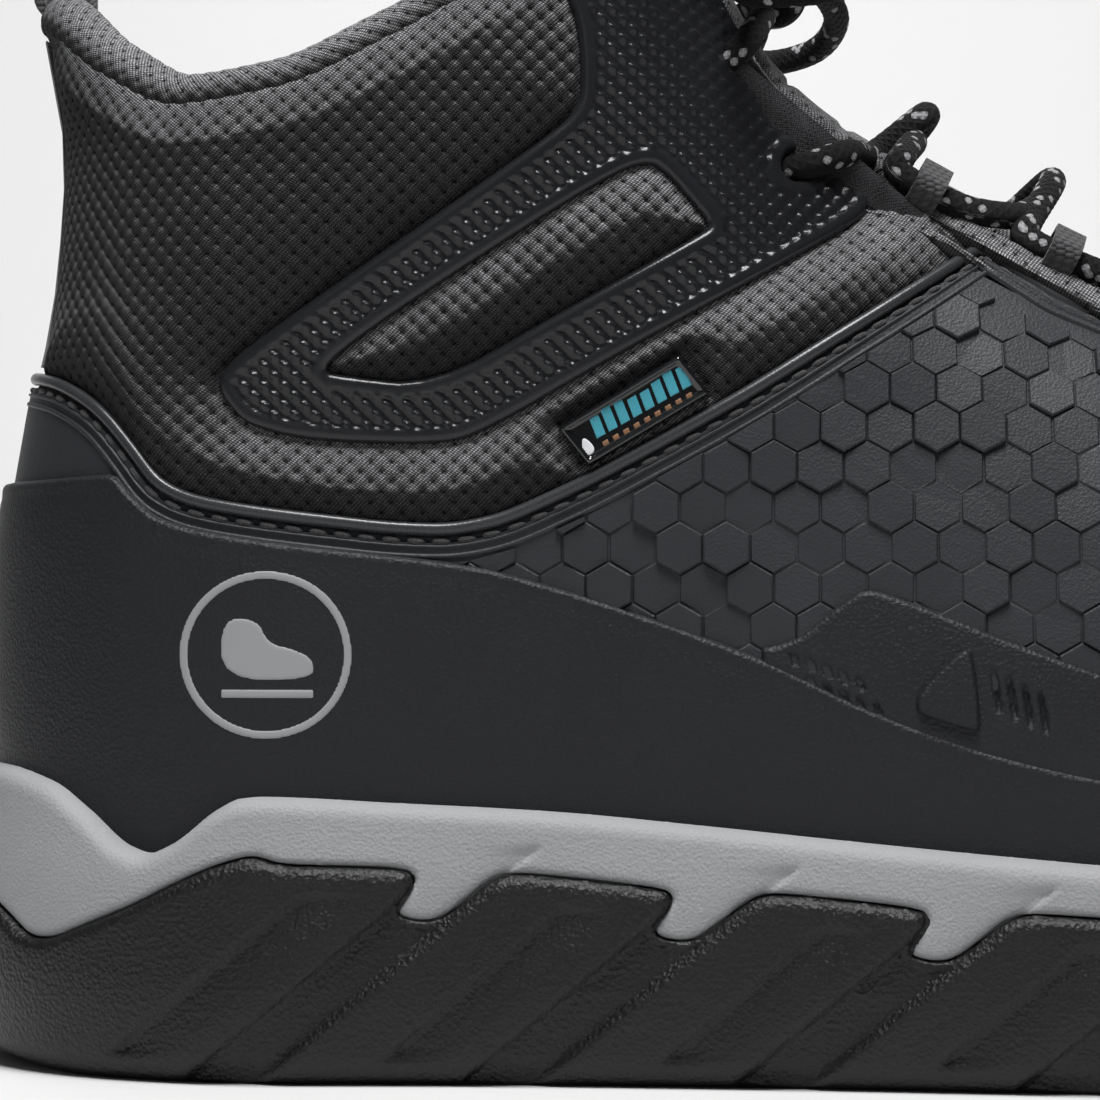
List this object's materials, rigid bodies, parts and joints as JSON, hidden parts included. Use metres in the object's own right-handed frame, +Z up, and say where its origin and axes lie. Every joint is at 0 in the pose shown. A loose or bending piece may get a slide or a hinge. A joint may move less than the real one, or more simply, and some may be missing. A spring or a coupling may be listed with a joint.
{
  "type": "safety work boot",
  "caption": "Right-foot athletic safety work boot, mid height, black mesh and moulded shell over a grey and black lugged sole, protective toe cap, tied laces.",
  "frame": {"origin": "on the floor under the middle of the boot's length and width", "axes": "+X to the toe, +Y to the inner (medial) side of the foot, +Z up"},
  "size_m": [0.3156, 0.1146, 0.204],
  "materials": {
    "outsole_rubber": "coarse matte black rubber",
    "midsole_foam": "fine-grained moulded foam, grey",
    "composite_plate": "fibre-filled composite, unpainted",
    "board": "stiff pressed fibre board",
    "footbed_textile": "short-pile textile over foam",
    "bare_foam": "open-cell foam",
    "lining_textile": "knitted lining",
    "knit_mesh": "open jacquard mesh, black",
    "moulded_shell": "fine-grained moulded polyurethane",
    "smooth_rand": "smooth satin polyurethane",
    "bead_rubber": "smooth satin rubber piping",
    "thread": "waxed thread",
    "overlay_film": "satin fused film with a raised pip pattern",
    "tag_gloss": "glossy moulded tag",
    "webbing": "woven webbing",
    "lace_braid": "round braid, black with pale flecks",
    "aglet_plastic": "smooth tube"
  },
  "bodies": {
    "boot": {"outsole": "outsole_rubber", "midsole": "midsole_foam", "shank": "composite_plate", "lasting_board": "board", "heel_stiffener": "board", "toe_cap": "composite_plate", "toe_cap_edge_strip": "bare_foam", "waterproof_bootie": "lining_textile", "collar_lining": "lining_textile", "collar_foam": "bare_foam", "mesh_quarter_lateral": "knit_mesh", "mesh_quarter_medial": "knit_mesh", "mesh_vamp": "knit_mesh", "outer_shell": "moulded_shell", "rand": "smooth_rand", "shell_bead": "bead_rubber", "shell_stitching": "thread", "support_band_lateral": "smooth_rand", "band_badge_lateral": "smooth_rand", "side_overlay_lateral": "overlay_film", "support_band_medial": "smooth_rand", "band_badge_medial": "smooth_rand", "side_overlay_medial": "overlay_film", "side_tag": "tag_gloss", "heel_strip": "webbing", "lace_loop_lateral_1": "webbing", "lace_loop_medial_1": "webbing", "lace_loop_lateral_2": "webbing", "lace_loop_medial_2": "webbing", "lace_loop_lateral_3": "webbing", "lace_loop_medial_3": "webbing", "lace": "lace_braid", "lace_knot": "lace_braid", "bow_loop_lateral": "lace_braid", "lace_end_lateral": "lace_braid", "aglet_lateral": "aglet_plastic", "bow_loop_medial": "lace_braid", "lace_end_medial": "lace_braid", "aglet_medial": "aglet_plastic"},
    "tongue": {"tongue": "knit_mesh"},
    "tongue_pull": {"tongue_pull_loop": "webbing"},
    "heel_pull": {"heel_pull_loop": "webbing"},
    "insole": {"footbed": "footbed_textile"}
  },
  "joints": [
    {"name": "footbed_lift", "type": "hinge", "parent": "boot", "child": "insole", "pos_m": [0.14165, 0.0057, 0.0284], "axis": [0, 1, 0], "range_deg": [0, 8]},
    {"name": "tongue_swing", "type": "hinge", "parent": "boot", "child": "tongue", "pos_m": [0.08105, 0.0001, 0.08], "axis": [0, 1, 0], "range_deg": [-4, 0], "stiffness_Nm_per_rad": 1, "springref_deg": 8.59},
    {"name": "tongue_pull_flip", "type": "hinge", "parent": "tongue", "child": "tongue_pull", "pos_m": [-0.0548, -0.0051, 0.189], "axis": [0, 1, 0], "range_deg": [-60, 60], "stiffness_Nm_per_rad": 0.01},
    {"name": "heel_pull_flip", "type": "hinge", "parent": "boot", "child": "heel_pull", "pos_m": [-0.1429, -0.0029, 0.1601], "axis": [0, 1, 0], "range_deg": [-70, 60], "stiffness_Nm_per_rad": 0.01}
  ]
}
